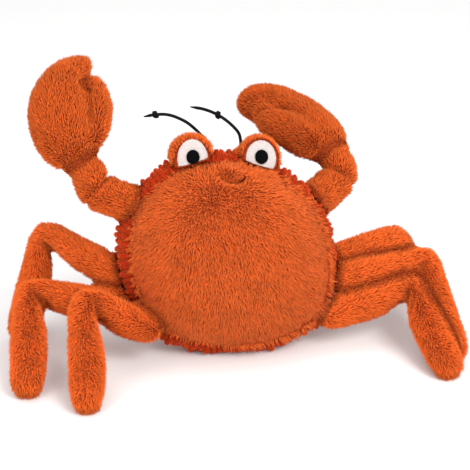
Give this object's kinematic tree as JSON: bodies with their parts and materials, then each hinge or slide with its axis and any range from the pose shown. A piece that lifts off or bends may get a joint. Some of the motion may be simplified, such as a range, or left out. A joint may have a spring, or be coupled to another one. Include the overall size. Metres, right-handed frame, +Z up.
{
  "type": "plush crab",
  "caption": "Stuffed plush crab with a gathered band round its body, bent legs, raised mitten claws, felt eyes and knotted cord feelers; rests on the floor.",
  "frame": {"origin": "on the floor, in the middle of the flattened underside of the gathered band", "axes": "-Y is the front, +X is the right as seen by someone facing the toy, +Z is up"},
  "size_m": [0.4228, 0.2503, 0.2664],
  "materials": {
    "orange_plush": "long soft pile",
    "red_orange_plush": "short pile, gathered",
    "white_felt": "matte felt",
    "black_felt": "matte felt",
    "black_waxed_cord": "waxed cord",
    "dark_thread": "thread"
  },
  "bodies": {
    "root": {"body_front": "orange_plush", "body_back": "orange_plush", "gathered_band": "red_orange_plush", "eye_stalk_left": "orange_plush", "eye_stalk_right": "orange_plush", "eye_white_left": "white_felt", "eye_white_right": "white_felt", "pupil_left": "black_felt", "pupil_right": "black_felt", "feeler_left": "black_waxed_cord", "feeler_right": "black_waxed_cord", "smile_stitch": "dark_thread", "arm_left": "orange_plush", "arm_right": "orange_plush", "claw_left": "orange_plush", "claw_right": "orange_plush", "leg_front_left": "orange_plush", "leg_middle_left": "orange_plush", "leg_rear_left": "orange_plush", "leg_front_right": "orange_plush", "leg_middle_right": "orange_plush", "leg_rear_right": "orange_plush"}
  },
  "joints": []
}
